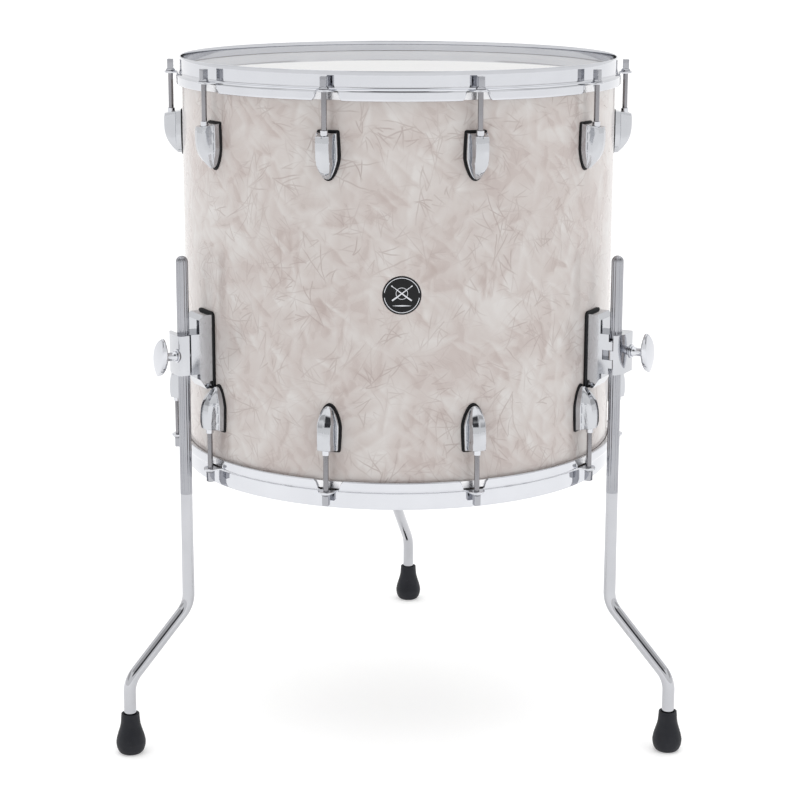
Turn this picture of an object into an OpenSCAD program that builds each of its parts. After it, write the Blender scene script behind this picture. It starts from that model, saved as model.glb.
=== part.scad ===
// Floor tom: a wrapped ply shell between two flanged hoops, tuned by square-headed rods in
// bolted lugs, standing on three cranked legs that are clamped in hinged brackets.
// Millimetres. +Z is up, -Y is the front, and the floor is at z = 0.

/* [Shell] */
// Outer diameter over the wrap
shell_d = 455; // [454:0.5:456]
// Depth from one bearing edge to the other
shell_depth = 406.4; // [400:0.1:420]
// Height of the lower bearing edge above the floor
shell_lift = 293.8; // [285:0.1:305]
// Thickness of the ply
ply_t = 6.4; // [5:0.1:8]
// Thickness of the wrap
wrap_t = 0.5; // [0.4:0.1:0.8]
// Diameter of the badge
badge_d = 38; // [30:1:44]

/* [Hoops] */
// Height of a hoop from rim to skirt edge
hoop_h = 28.6; // [28:0.1:30]
// Thickness of the hoop's steel
hoop_t = 1.6; // [1.4:0.1:1.8]
// How far the rim stands past the bearing edge
rim_rise = 11.8; // [11:0.1:12.5]
// Radius of the circle that the tension rods stand on
rod_circle_r = 239.8; // [239.4:0.1:240.2]

/* [Lugs and rods] */
// Height of a lug casting
lug_h = 44; // [42:0.5:45]
// Width of a lug casting
lug_w = 22; // [20:0.5:23]
// Depth of a lug casting from gasket to face
lug_depth = 19.3; // [18.5:0.1:20]
// Distance from the bearing edge to the middle of a lug
lug_inset = 69.7; // [68:0.1:75]
// Diameter of a tension rod
rod_d = 5.5; // [5.4:0.1:5.6]
// Across the flats of a rod's square head
key_w = 6.3; // [6:0.1:6.4]

/* [Legs and brackets] */
// Diameter of a leg
leg_d = 12.7; // [12.5:0.1:12.8]
// Distance from the drum's axis to a leg's upper run
leg_circle_r = 254.4; // [254.2:0.1:254.6]
// Height of a leg's top end above the floor
leg_top = 519; // [500:1:540]
// How far the crank carries the foot outwards
crank = 69; // [60:1:75]
// Height of the crank's upper corner
crank_top = 150; // [140:1:160]
// Height of the crank's lower corner
crank_low = 78; // [72:1:84]
// Swivel of the front left, front right and back leg in its clamp
leg_swivel = [0, 0, -16]; // [-20:1:20]
// Height of the brackets' middle above the floor
bracket_z = 419; // [419:1:460]
// Widest diameter of a rubber foot
foot_d = 30.6; // [28:0.2:32]
// Height of a rubber foot
foot_h = 43.4; // [40:0.2:46]
// Rest angle of each wing bolt
wing_rest = [-20, 14, 8]; // [-30:1:30]

/* [Hidden] */
big = 360;     // facets of shell-sized circles
fine = 48;     // facets of small circles
slip = 0.05;   // running clearance on the radius
eps = 0.01;

lug_count = 10;
lug_step = 360 / lug_count;
leg_angles = [-60, 60, 180];

// shell
shell_r = shell_d / 2;
ply_r = shell_r - wrap_t;
bore_r = ply_r - ply_t;
edge_r = ply_r - 2.6;                   // radius of the bearing edge's peak
wrap_margin = 6.2;                      // bare ply beyond each end of the wrap
edge_low = shell_lift;
edge_high = shell_lift + shell_depth;
mid_z = (edge_low + edge_high) / 2;

// hoop, measured down from its rim
rim_z = edge_high + rim_rise;
wall_ri = shell_r + 0.5;
wall_ro = wall_ri + hoop_t;
skirt_ro = wall_ro + 3.5;
skirt_ri = skirt_ro - hoop_t;
wall_h = 14.5;                          // from rim to shoulder
skirt_top = 20.2;                       // where the shoulder turns down
ear_top = 18.5;                         // height of the ears' seat below the rim
ear_t = 1.6;
ear_r = 9;                              // nose radius of an ear
ear_reach = 6.6;                        // metal outside the rod's axis
ear_c = rod_circle_r + ear_reach - ear_r;
scallop_w = [9.4, 15];                  // half widths of the skirt's cut under an ear
flesh_ri = shell_r + 0.8;
flesh_ro = skirt_ri - 0.3;
flesh_top = 20.5;
flesh_h = 7;
film_t = 0.4;

// rods
rod_r = rod_d / 2;
rod_hole_r = rod_r + 0.35;
washer_ri = rod_r + 0.25;
washer_ro = 6.5;
washer_t = 1.5;
seat_z = rim_z - ear_top + washer_t;    // top of a washer
rod_flange_r = 4.9;
rod_flange_t = 2.2;
rod_head_top = seat_z + 12.2;
lug_z = edge_high - lug_inset;
rod_end = lug_z - 9;

// lugs
gasket_t = 1.5;                         // at the middle, between the wrap and a flat face
gasket_x = shell_r + gasket_t;
gasket_rim = 1.5;                       // how far a lug gasket shows past the casting's sides
lug_column = 0.7 * lug_w;               // width of the casting's deep middle
nut_ro = 3.8;
nut_ri = rod_r + slip;
nut_top = lug_h / 2 + 3.6;
nut_low = 2;
screw_r = 2.4;
screw_hole_r = screw_r + 0.05;
screw_head_r = 4.5;
screw_head_t = 3;
screw_seat = bore_r - 0.1;
lug_screw_z = [-9, 13];
lug_screw_tip = gasket_x + 5;

// brackets, in a frame with x outwards from the drum's axis and y along the rim
leg_r = leg_d / 2;
groove_r = leg_r + slip;
plate_x = 243.5;
plate_y = [-14.5, 15.5];
plate_z = [-37, 37];
block_x = leg_circle_r - 1.5;
block_z = [-21, 20.5];
pad_y = 17.2;
pad_z = [-38.5, 42];
pad_corner = 5;
pin_x = 255;
pin_y = -10.9;
pin_r = 1.8;
pin_head_r = pin_x - block_x - 0.1;     // clear of the block
knuckle_r = 3.6;
arm_z = [[4.2, 13], [-14.6, -6]];       // the base's two knuckles
tongue_z = [-5.6, 3.8];                 // the jaw's knuckle
jaw_in = leg_circle_r + 1;
jaw_out = 266.8;
jaw_h = 41;
jaw_left = -17.4;
jaw_right = 17;
bolt_y = 11.2;
bolt_r = 2.95;
bolt_bore_r = bolt_r + slip;
bolt_tip = 239;
jaw_hole_r = 3.9;
jaw_hole_shift = 0.5;
wing_washer_ro = 7;
wing_washer_t = 1.5;
hub_x = jaw_out + slip + wing_washer_t + slip;
hub_r = 5.2;
wing_x = 285;
wing_h = 45;
wing_w = 25;
wing_t = 8;
bracket_screw_z = [-29, 29];
bracket_screw_tip = 238;

// legs
bend_r = 30;
crank_angle = atan2(crank, crank_top - crank_low);
bend_run = bend_r * tan(crank_angle / 2);
slope_len = norm([crank, crank_top - crank_low]) - 2 * bend_run;
bend_slim = 0.1;
bend_lap = 0.5;                         // how far a straight run laps into a bend
leg_low = 12;                           // where a leg ends inside its foot
foot_r = foot_d / 2;
foot_flat = 9;
foot_waist = 12;                        // height of the widest ring
foot_neck_r = 9.3;
foot_bulb = 0.62;                       // share of the swell that is a round bulb, the rest a taper
foot_turn = 1.35;                       // how low on the neck the bulb ends

// the drum's axis lies off the origin, because the back foot reaches further than the front
front_reach = (gasket_x + lug_depth) * cos(lug_step / 2) + lug_column / 2 * sin(lug_step / 2);
back_reach = leg_circle_r + crank * cos(leg_swivel[2]) + foot_r;
axis_y = (front_reach - back_reach) / 2;

function rod_names(head) = [for (i = [1 : lug_count]) str(head, "_rod_", i)];
function leg_names(part) = [for (i = [1 : 3]) str(part, "_", i)];

// ---- placing ----

// x outwards at an angle round the drum, counted from the front towards +X
module around(angle)
    translate([0, axis_y, 0]) rotate([0, 0, angle - 90]) children();

module each_lug()
    for (i = [0 : lug_count - 1]) around(lug_step * (i + 0.5)) children();

// what is drawn for the upper head, mirrored to the lower one
module lower_side()
    translate([0, 0, 2 * mid_z]) mirror([0, 0, 1]) children();

module at_bracket(i)
    around(leg_angles[i]) translate([0, 0, bracket_z]) children();

module ring(ro, ri, h)
    difference() {
        cylinder(r = ro, h = h, $fn = fine);
        translate([0, 0, -1]) cylinder(r = ri, h = h + 2, $fn = fine);
    }

// a cylinder along x between two distances
module rod_x(r, x0, x1)
    translate([x0, 0, 0]) rotate([0, 90, 0]) cylinder(r = r, h = x1 - x0, $fn = fine);

// an outline in y and z, pushed along x
module slab_x(x0, x1)
    translate([x0, 0, 0]) rotate([90, 0, 90]) linear_extrude(x1 - x0) children();

// ---- shell ----

module screw_holes() {
    each_lug() for (z = lug_screw_z) {
        translate([0, 0, lug_z + z]) rod_x(screw_hole_r, bore_r - 5, shell_r + 5);
        translate([0, 0, 2 * mid_z - lug_z - z]) rod_x(screw_hole_r, bore_r - 5, shell_r + 5);
    }
    for (i = [0 : 2], z = bracket_screw_z)
        at_bracket(i) translate([0, 0, z]) rod_x(screw_hole_r, bore_r - 5, shell_r + 5);
}

module shell() color("burlywood") {
    bevel = edge_r - bore_r;
    round_off = ply_r - edge_r;
    difference() {
        translate([0, axis_y, 0]) rotate_extrude($fn = big) polygon([
            [bore_r, edge_low + bevel], [edge_r, edge_low], [ply_r, edge_low + round_off],
            [ply_r, edge_high - round_off], [edge_r, edge_high], [bore_r, edge_high - bevel]]);
        screw_holes();
    }
}

module shell_wrap() color("linen")
    difference() {
        translate([0, axis_y, 0]) rotate_extrude($fn = big)
            translate([ply_r, edge_low + wrap_margin]) square([wrap_t, shell_depth - 2 * wrap_margin]);
        screw_holes();
    }

// a thin disc bent to the shell
module badge() color("black") {
    badge_t = 0.6;
    intersection() {
        translate([0, axis_y, mid_z - badge_d]) difference() {
            cylinder(r = shell_r + badge_t, h = 2 * badge_d, $fn = big);
            translate([0, 0, -1]) cylinder(r = shell_r, h = 2 * badge_d + 2, $fn = big);
        }
        around(0) translate([0, 0, mid_z]) rod_x(badge_d / 2, shell_r - 10, shell_r + 5);
    }
}

// ---- hoops and heads ----

module ear()
    translate([0, 0, rim_z - ear_top - ear_t]) {
        translate([ear_c, 0, 0]) cylinder(r = ear_r, h = ear_t, $fn = fine);
        translate([skirt_ri + 0.3, -ear_r, 0]) cube([ear_c - skirt_ri - 0.3, 2 * ear_r, ear_t]);
    }

// the cut that lifts the skirt's edge up to an ear
module scallop() {
    top = rim_z - ear_top - ear_t - eps;
    low = rim_z - hoop_h - 1;
    slab_x(skirt_ri - 0.3, skirt_ro + 1) polygon([
        [-scallop_w[1], low], [scallop_w[1], low], [scallop_w[0], top], [-scallop_w[0], top]]);
}

module hoop() color("silver")
    difference() {
        union() {
            translate([0, axis_y, 0]) rotate_extrude($fn = big) polygon([
                [wall_ro, rim_z], [wall_ro, rim_z - wall_h], [wall_ro + 1.2, rim_z - wall_h - 3.1],
                [skirt_ro, rim_z - skirt_top], [skirt_ro, rim_z - hoop_h], [skirt_ri, rim_z - hoop_h],
                [skirt_ri, rim_z - skirt_top - 0.1], [wall_ri, rim_z - wall_h - 0.7], [wall_ri, rim_z]]);
            each_lug() ear();
        }
        each_lug() scallop();
        each_lug() translate([rod_circle_r, 0, rim_z - ear_top - 5])
            cylinder(r = rod_hole_r, h = 10, $fn = fine);
    }

// the film crosses the bearing edge and runs down into its own hoop
module head() color([0.95, 0.95, 0.94, 0.6]) {
    low = rim_z - flesh_top - flesh_h + 1;
    film_ri = shell_r + 0.1;
    film_ro = wall_ri - 0.05;
    under = edge_high + slip;
    translate([0, axis_y, 0]) rotate_extrude($fn = big) polygon([
        [0, under], [edge_r, under], [film_ri, edge_high - 2.6], [film_ri, low], [flesh_ri, low],
        [flesh_ri, rim_z - flesh_top], [film_ro, rim_z - flesh_top], [film_ro, edge_high - 2.4],
        [edge_r + 0.2, under + film_t], [0, under + film_t]]);
}

module flesh_hoop() color("gainsboro")
    translate([0, axis_y, rim_z - flesh_top - flesh_h]) rotate_extrude($fn = big)
        translate([flesh_ri, 0]) square([flesh_ro - flesh_ri, flesh_h]);

module washers() color("silver")
    each_lug() translate([rod_circle_r, 0, seat_z - washer_t]) ring(washer_ro, washer_ri, washer_t);

// ---- tension rods ----

module tension_rod(i) color("silver")
    around(lug_step * (i - 0.5)) translate([rod_circle_r, 0, 0]) {
        translate([0, 0, rod_end]) cylinder(r = rod_r, h = seat_z + 1 - rod_end, $fn = fine);
        translate([0, 0, seat_z + slip]) cylinder(r = rod_flange_r, h = rod_flange_t, $fn = fine);
        translate([-key_w / 2, -key_w / 2, seat_z + 1])
            cube([key_w, key_w, rod_head_top - seat_z - 1]);
    }

// ---- lugs ----

// flat across the open end, a pointed arch at the other
module lug_outline(w, h, arch) {
    lean = (arch * arch - w * w / 4) / w;
    intersection() {
        translate([-w / 2, -h / 2]) square([w, h]);
        union() {
            translate([-w / 2, arch - h / 2]) square([w, h - arch]);
            intersection() {
                translate([lean, arch - h / 2]) circle(r = lean + w / 2, $fn = 2 * fine);
                translate([-lean, arch - h / 2]) circle(r = lean + w / 2, $fn = 2 * fine);
            }
        }
    }
}

// the casting seen from the side: deep at the open end, running out at the point
module lug_side(face)
    rotate([90, 0, 0]) translate([0, 0, -lug_w]) linear_extrude(2 * lug_w) polygon([
        [gasket_x, lug_h / 2], [face, lug_h / 2], [face, 2], [face - 1.5, -6], [face - 5.5, -14],
        [gasket_x + 4, -lug_h / 2 + 1], [gasket_x, -lug_h / 2]]);

module lug()
    translate([0, 0, lug_z]) difference() {
        union() {
            slab_x(gasket_x, gasket_x + 6) lug_outline(lug_w, lug_h, 20);
            intersection() {
                slab_x(gasket_x, gasket_x + lug_depth) lug_outline(lug_column, lug_h - 2, 19);
                lug_side(gasket_x + lug_depth);
            }
        }
        translate([rod_circle_r, 0, nut_low]) cylinder(r = nut_ro, h = lug_h, $fn = fine);
        translate([rod_circle_r, 0, -13]) cylinder(r = rod_r + 0.4, h = lug_h, $fn = fine);
        for (z = lug_screw_z) translate([0, 0, z]) rod_x(screw_hole_r, gasket_x - 1, lug_screw_tip + 0.2);
    }

module lugs() color("silver") each_lug() lug();

module lug_gasket()
    translate([0, 0, lug_z]) difference() {
        slab_x(shell_r - 3, gasket_x) translate([0, 0.5])
            lug_outline(lug_w + 2 * gasket_rim, lug_h + 5, 22);
        for (z = lug_screw_z) translate([0, 0, z]) rod_x(screw_hole_r, shell_r - 5, gasket_x + 1);
    }

module lug_gaskets() color("dimgray")
    difference() {
        each_lug() lug_gasket();
        translate([0, axis_y, lug_z - lug_h]) cylinder(r = shell_r, h = 2 * lug_h, $fn = big);
    }

module swivel_nuts() color("silver")
    each_lug() translate([rod_circle_r, 0, lug_z + nut_low])
        ring(nut_ro, nut_ri, nut_top - nut_low);

module screw(tip) {
    rod_x(screw_r, screw_seat - 1, tip);
    rod_x(screw_head_r, screw_seat - screw_head_t, screw_seat);
}

module lug_screws() color("gray")
    each_lug() for (z = lug_screw_z) translate([0, 0, lug_z + z]) screw(lug_screw_tip);

// ---- leg brackets ----

module leg_groove()
    translate([leg_circle_r, 0, -60]) cylinder(r = groove_r, h = 120, $fn = fine);

module bracket_plate()
    rotate([90, 0, 0]) translate([0, 0, -plate_y[1]]) linear_extrude(plate_y[1] - plate_y[0]) polygon([
        [gasket_x, plate_z[0]], [plate_x - 7, plate_z[0]], [plate_x, plate_z[0] + 10],
        [plate_x, plate_z[1] - 5], [plate_x - 4, plate_z[1]], [gasket_x, plate_z[1]]]);

module bracket_arm(z)
    translate([0, 0, z[0]]) {
        translate([pin_x, pin_y, 0]) cylinder(r = knuckle_r, h = z[1] - z[0], $fn = fine);
        translate([block_x - 2, pin_y - knuckle_r, 0])
            cube([pin_x - block_x + 2, 2 * knuckle_r, z[1] - z[0]]);
    }

module bracket_base()
    difference() {
        union() {
            bracket_plate();
            translate([plate_x - 1, plate_y[0], block_z[0]])
                cube([block_x - plate_x + 1, plate_y[1] - plate_y[0], block_z[1] - block_z[0]]);
            for (z = arm_z) bracket_arm(z);
        }
        leg_groove();
        translate([block_x - 7, plate_y[0] - 1, arm_z[1][1]])
            cube([20, 10 - slip, arm_z[0][0] - arm_z[1][1]]);
        translate([pin_x, pin_y, -40]) cylinder(r = pin_r + slip, h = 80, $fn = fine);
        translate([0, bolt_y, 0]) rod_x(bolt_bore_r, bolt_tip - 2, block_x + 5);
        for (z = bracket_screw_z)
            translate([0, 0, z]) rod_x(screw_hole_r, gasket_x - 1, bracket_screw_tip + 0.2);
    }

module bracket_bases() color("silver") for (i = [0 : 2]) at_bracket(i) bracket_base();

module pad_outline()
    union() {
        translate([-pad_y, pad_z[0] + pad_corner])
            square([2 * pad_y, pad_z[1] - pad_z[0] - 2 * pad_corner]);
        translate([-pad_y + pad_corner, pad_z[0]])
            square([2 * (pad_y - pad_corner), pad_z[1] - pad_z[0]]);
        for (y = [-1, 1], z = [pad_z[0] + pad_corner, pad_z[1] - pad_corner])
            translate([y * (pad_y - pad_corner), z]) circle(r = pad_corner, $fn = fine);
    }

module bracket_gaskets() color("dimgray")
    difference() {
        for (i = [0 : 2]) at_bracket(i) difference() {
            slab_x(shell_r - 3, gasket_x) pad_outline();
            for (z = bracket_screw_z)
                translate([0, 0, z]) rod_x(screw_hole_r, shell_r - 5, gasket_x + 1);
        }
        translate([0, axis_y, bracket_z - 60]) cylinder(r = shell_r, h = 120, $fn = big);
    }

module bracket_screws() color("gray")
    for (i = [0 : 2], z = bracket_screw_z)
        at_bracket(i) translate([0, 0, z]) screw(bracket_screw_tip);

module hinge_pins() color("silver")
    for (i = [0 : 2]) at_bracket(i) translate([pin_x, pin_y, 0]) {
        translate([0, 0, arm_z[1][0]]) cylinder(r = pin_r, h = arm_z[0][1] - arm_z[1][0], $fn = fine);
        translate([0, 0, arm_z[0][1]]) cylinder(r = pin_head_r, h = 0.8, $fn = fine);
    }

module clamp_jaw(i) color("silver") {
    inner = pin_x + knuckle_r + 0.6;
    at_bracket(i) difference() {
        union() {
            translate([0, 0, -jaw_h / 2]) linear_extrude(jaw_h) polygon([
                [inner, jaw_left], [jaw_out - 4.6, jaw_left], [jaw_out, -5.6],
                [jaw_out, jaw_right - 2], [jaw_out - 2, jaw_right], [jaw_in, jaw_right],
                [jaw_in, 0], [inner, 0]]);
            translate([pin_x, pin_y, tongue_z[0]])
                cylinder(r = knuckle_r, h = tongue_z[1] - tongue_z[0], $fn = fine);
            translate([pin_x, pin_y - knuckle_r, tongue_z[0]])
                cube([inner - pin_x + 1, 2 * knuckle_r, tongue_z[1] - tongue_z[0]]);
        }
        leg_groove();
        translate([pin_x, pin_y, -30]) cylinder(r = pin_r + slip, h = 60, $fn = fine);
        translate([0, bolt_y + jaw_hole_shift, 0]) rod_x(jaw_hole_r, jaw_in - 5, jaw_out + 5);
    }
}

module wing_washer(i) color("silver")
    at_bracket(i) translate([jaw_out + slip, bolt_y, 0]) rotate([0, 90, 0])
        ring(wing_washer_ro, bolt_bore_r, wing_washer_t);

// a lens with a pointed oval outline and clipped tips
module wing_plate() {
    bow = (wing_h * wing_h / 4 - wing_w * wing_w / 4) / wing_w;   // offset of the outline's arcs
    dish = 90;                                                    // radius of each dished face
    rim = wing_h / 2;
    function half(r) = wing_t / 2 + sqrt(dish * dish - r * r) - dish;
    intersection() {
        rotate([0, 90, 0]) rotate_extrude($fn = 2 * fine) polygon(concat(
            [for (k = [0 : 6]) [rim * k / 6, half(rim * k / 6)]],
            [for (k = [6 : -1 : 0]) [rim * k / 6, -half(rim * k / 6)]]));
        translate([0, bow, 0]) rod_x(bow + wing_w / 2, -wing_t, wing_t);
        translate([0, -bow, 0]) rod_x(bow + wing_w / 2, -wing_t, wing_t);
    }
}

module wing_bolt(i) color("silver")
    at_bracket(i) translate([0, bolt_y, 0]) rotate([wing_rest[i], 0, 0]) {
        rod_x(bolt_r, bolt_tip, hub_x + 1);
        rod_x(hub_r, hub_x, wing_x - 1);
        translate([wing_x, 0, 0]) wing_plate();
    }

// ---- legs and feet ----

module at_leg(i)
    around(leg_angles[i]) translate([leg_circle_r, 0, 0]) rotate([0, 0, leg_swivel[i]]) children();

// a bend of the crank, a hair slimmer than the runs that it joins
module leg_bend()
    rotate([90, 0, 0]) rotate_extrude(angle = crank_angle, $fn = 2 * fine)
        translate([bend_r, 0]) circle(r = leg_r - bend_slim, $fn = fine);

module leg(i) color("silver")
    at_leg(i) {
        translate([0, 0, leg_top - leg_r]) sphere(r = leg_r - bend_slim, $fn = 2 * fine);
        translate([0, 0, crank_top + bend_run - bend_lap])
            cylinder(r = leg_r, h = leg_top - leg_r - crank_top - bend_run + bend_lap, $fn = fine);
        translate([bend_r, 0, crank_top + bend_run]) rotate([0, 180, 0]) leg_bend();
        translate([0, 0, crank_top]) rotate([0, 180 - crank_angle, 0])
            translate([0, 0, bend_run - bend_lap]) cylinder(r = leg_r, h = slope_len + 2 * bend_lap, $fn = fine);
        translate([crank - bend_r, 0, crank_low - bend_run]) leg_bend();
        translate([crank, 0, leg_low])
            cylinder(r = leg_r, h = crank_low - bend_run - leg_low + bend_lap, $fn = fine);
    }

// pear shaped, with a small flat to stand on
module foot(i) color([0.12, 0.12, 0.13])
    at_leg(i) translate([crank, 0, 0]) difference() {
        rotate_extrude($fn = 2 * fine) polygon(concat(
            [[0, 0]],
            [for (a = [90 : -15 : 0])
                [foot_flat + (foot_r - foot_flat) * cos(a), foot_waist * (1 - sin(a))]],
            [for (k = [1 : 8]) let (f = k / 8, round = (1 + cos(180 * min(1, foot_turn * f))) / 2)
                [foot_neck_r + (foot_r - foot_neck_r) * (foot_bulb * round + (1 - foot_bulb) * (1 - f)),
                 foot_waist + (foot_h - foot_waist) * f]],
            [[0, foot_h]]));
        translate([0, 0, leg_low]) cylinder(r = leg_r, h = foot_h, $fn = fine);
    }

shell();
shell_wrap();
badge();
hoop();  // batter_hoop
head();  // batter_head
flesh_hoop();  // batter_flesh_hoop
washers();  // batter_washers
lower_side() hoop();  // resonant_hoop
lower_side() head();  // resonant_head
lower_side() flesh_hoop();  // resonant_flesh_hoop
lower_side() washers();  // resonant_washers
lugs();  // batter_lugs
lug_gaskets();  // batter_lug_gaskets
swivel_nuts();  // batter_swivel_nuts
lug_screws();  // batter_lug_screws
lower_side() lugs();  // resonant_lugs
lower_side() lug_gaskets();  // resonant_lug_gaskets
lower_side() swivel_nuts();  // resonant_swivel_nuts
lower_side() lug_screws();  // resonant_lug_screws
bracket_bases();
bracket_gaskets();
bracket_screws();
hinge_pins();
for (i = [1 : lug_count]) {
    tension_rod(i);
    lower_side() tension_rod(i);
}
for (i = [1 : 3]) {
    clamp_jaw(i - 1);
    wing_washer(i - 1);
    wing_bolt(i - 1);
    leg(i - 1);
    foot(i - 1);
}
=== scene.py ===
import math

import bmesh
import bpy
import numpy as np
from mathutils import Matrix, Vector


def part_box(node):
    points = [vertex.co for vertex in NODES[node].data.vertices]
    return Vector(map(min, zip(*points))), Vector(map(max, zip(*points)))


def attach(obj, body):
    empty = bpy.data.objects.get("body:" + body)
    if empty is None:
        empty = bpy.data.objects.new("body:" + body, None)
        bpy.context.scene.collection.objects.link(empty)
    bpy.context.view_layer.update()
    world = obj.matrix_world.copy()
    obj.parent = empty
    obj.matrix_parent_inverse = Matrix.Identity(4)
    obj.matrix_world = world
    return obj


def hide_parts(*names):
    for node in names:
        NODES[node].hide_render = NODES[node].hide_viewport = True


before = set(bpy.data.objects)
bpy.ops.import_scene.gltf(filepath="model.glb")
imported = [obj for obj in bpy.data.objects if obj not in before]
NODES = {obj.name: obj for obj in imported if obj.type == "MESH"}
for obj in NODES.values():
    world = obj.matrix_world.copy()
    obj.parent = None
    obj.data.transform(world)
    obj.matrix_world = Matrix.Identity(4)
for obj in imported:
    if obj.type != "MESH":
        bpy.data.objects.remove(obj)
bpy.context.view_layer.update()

# ---- sizes in metres, the same as the CAD source's ----

MM = 0.001
shell_lo, shell_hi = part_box("shell")
AXIS_Y = (shell_lo.y + shell_hi.y) / 2
EDGE_LOW, EDGE_HIGH = shell_lo.z, shell_hi.z
MID_Z = (EDGE_LOW + EDGE_HIGH) / 2
RIM_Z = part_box("batter_hoop")[1].z
SHELL_R = 227.5 * MM
WRAP_T = 0.5 * MM
WRAP_MARGIN = 6.2 * MM
GASKET_X = 229.0 * MM
LUG_Z = EDGE_HIGH - 69.7 * MM
ROD_CIRCLE = 239.8 * MM
SEAT_Z = RIM_Z - 17.0 * MM
LEG_CIRCLE = 254.4 * MM
BRACKET_Z = 419 * MM
LUG_COUNT = 10
LUG_STEP = math.radians(36)
LUG_ANGLES = [LUG_STEP * (i + 0.5) for i in range(LUG_COUNT)]
LEG_ANGLES = [math.radians(a) for a in (-60, 60, 180)]
LEG_SWIVEL = [0, 0, math.radians(-16)]
BOLT_Y = 11.2 * MM
WING_X = 285 * MM
WING_REST = [math.radians(a) for a in (-20, 14, 8)]
PLATE_CROWN = 6 * MM
PLATE_RAISE = 2.5 * MM

# ---- placing and mesh helpers ----


def around(angle):
    """x outwards at an angle round the drum, counted from the front towards +X"""
    return Matrix.Translation((0, AXIS_Y, 0)) @ Matrix.Rotation(angle - math.pi / 2, 4, "Z")


def at_leg(i):
    return (around(LEG_ANGLES[i]) @ Matrix.Translation((LEG_CIRCLE, 0, 0))
            @ Matrix.Rotation(LEG_SWIVEL[i], 4, "Z"))


LOWER = Matrix.Translation((0, 0, 2 * MID_Z)) @ Matrix.Diagonal((1, 1, -1, 1))


def make_mesh(name, verts, faces, smooth=True):
    mesh = bpy.data.meshes.new(name)
    mesh.from_pydata([tuple(v) for v in verts], [], [tuple(f) for f in faces])
    mesh.validate()
    mesh.polygons.foreach_set("use_smooth", [smooth] * len(mesh.polygons))
    return mesh


def face_outwards(mesh):
    bm = bmesh.new()
    bm.from_mesh(mesh)
    bmesh.ops.recalc_face_normals(bm, faces=bm.faces)
    bm.to_mesh(mesh)
    bm.free()
    return mesh


def sharpen(mesh, degrees):
    """Smooth shading, broken where two faces meet at more than an angle"""
    bm = bmesh.new()
    bm.from_mesh(mesh)
    limit = math.radians(degrees)
    for f in bm.faces:
        f.smooth = True
    for e in bm.edges:
        e.smooth = not (e.is_manifold and e.calc_face_angle(0) > limit)
    bm.to_mesh(mesh)
    bm.free()
    return mesh


def copies(name, mesh, places):
    """One mesh of several placed copies, turned outwards where a place mirrors it"""
    bm = bmesh.new()
    for m in places:
        part = mesh.copy()
        part.transform(m)
        if m.determinant() < 0:
            part.flip_normals()
        bm.from_mesh(part)
        bpy.data.meshes.remove(part)
    made = bpy.data.meshes.new(name)
    bm.to_mesh(made)
    bm.free()
    for material in mesh.materials:
        made.materials.append(material)
    return made


def piece(name, mesh, body, material, nodes=(), place=None):
    if place is not None:
        mesh = copies(name, mesh, [place])
    obj = bpy.data.objects.new(name, mesh)
    bpy.context.scene.collection.objects.link(obj)
    if not mesh.materials:
        mesh.materials.append(material)
    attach(obj, body)
    if nodes:
        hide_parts(*nodes)
    return obj


def grid_faces(rows, cols, closed_rows=False, closed_cols=False):
    """Faces of a grid of rows x cols vertices, in row-major order"""
    faces = []
    for i in range(rows if closed_rows else rows - 1):
        for j in range(cols if closed_cols else cols - 1):
            a, b = i * cols + j, i * cols + (j + 1) % cols
            c, d = (i + 1) % rows * cols + (j + 1) % cols, (i + 1) % rows * cols + j
            faces.append((a, b, c, d))
    return faces


def lathe(profile, count, centre=(0, 0)):
    """A closed surface of revolution about Z; a profile point at radius 0 becomes a pole"""
    verts, rings = [], []
    for r, z in profile:
        if r < 1e-7:
            rings.append([len(verts)] * count)
            verts.append((centre[0], centre[1], z))
        else:
            rings.append(list(range(len(verts), len(verts) + count)))
            for k in range(count):
                a = 2 * math.pi * k / count
                verts.append((centre[0] + r * math.cos(a), centre[1] + r * math.sin(a), z))
    faces = []
    for low, high in zip(rings, rings[1:]):
        for k in range(count):
            n = (k + 1) % count
            f = [low[k], low[n], high[n], high[k]]
            f = [v for i, v in enumerate(f) if v not in f[:i]]
            if len(f) > 2:
                faces.append(f)
    return verts, faces


def rounded(points, radius, steps=4):
    """An open 2-D polyline with each inner corner turned into a small arc"""
    out = [points[0]]
    for a, b, c in zip(points, points[1:], points[2:]):
        a, b, c = Vector(a), Vector(b), Vector(c)
        cut = min(radius, (a - b).length * 0.45, (c - b).length * 0.45)
        p, q = b + (a - b).normalized() * cut, b + (c - b).normalized() * cut
        for k in range(steps + 1):
            t = k / steps
            out.append(tuple(p * (1 - t) ** 2 + b * 2 * t * (1 - t) + q * t * t))
    return out + [points[-1]]


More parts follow.
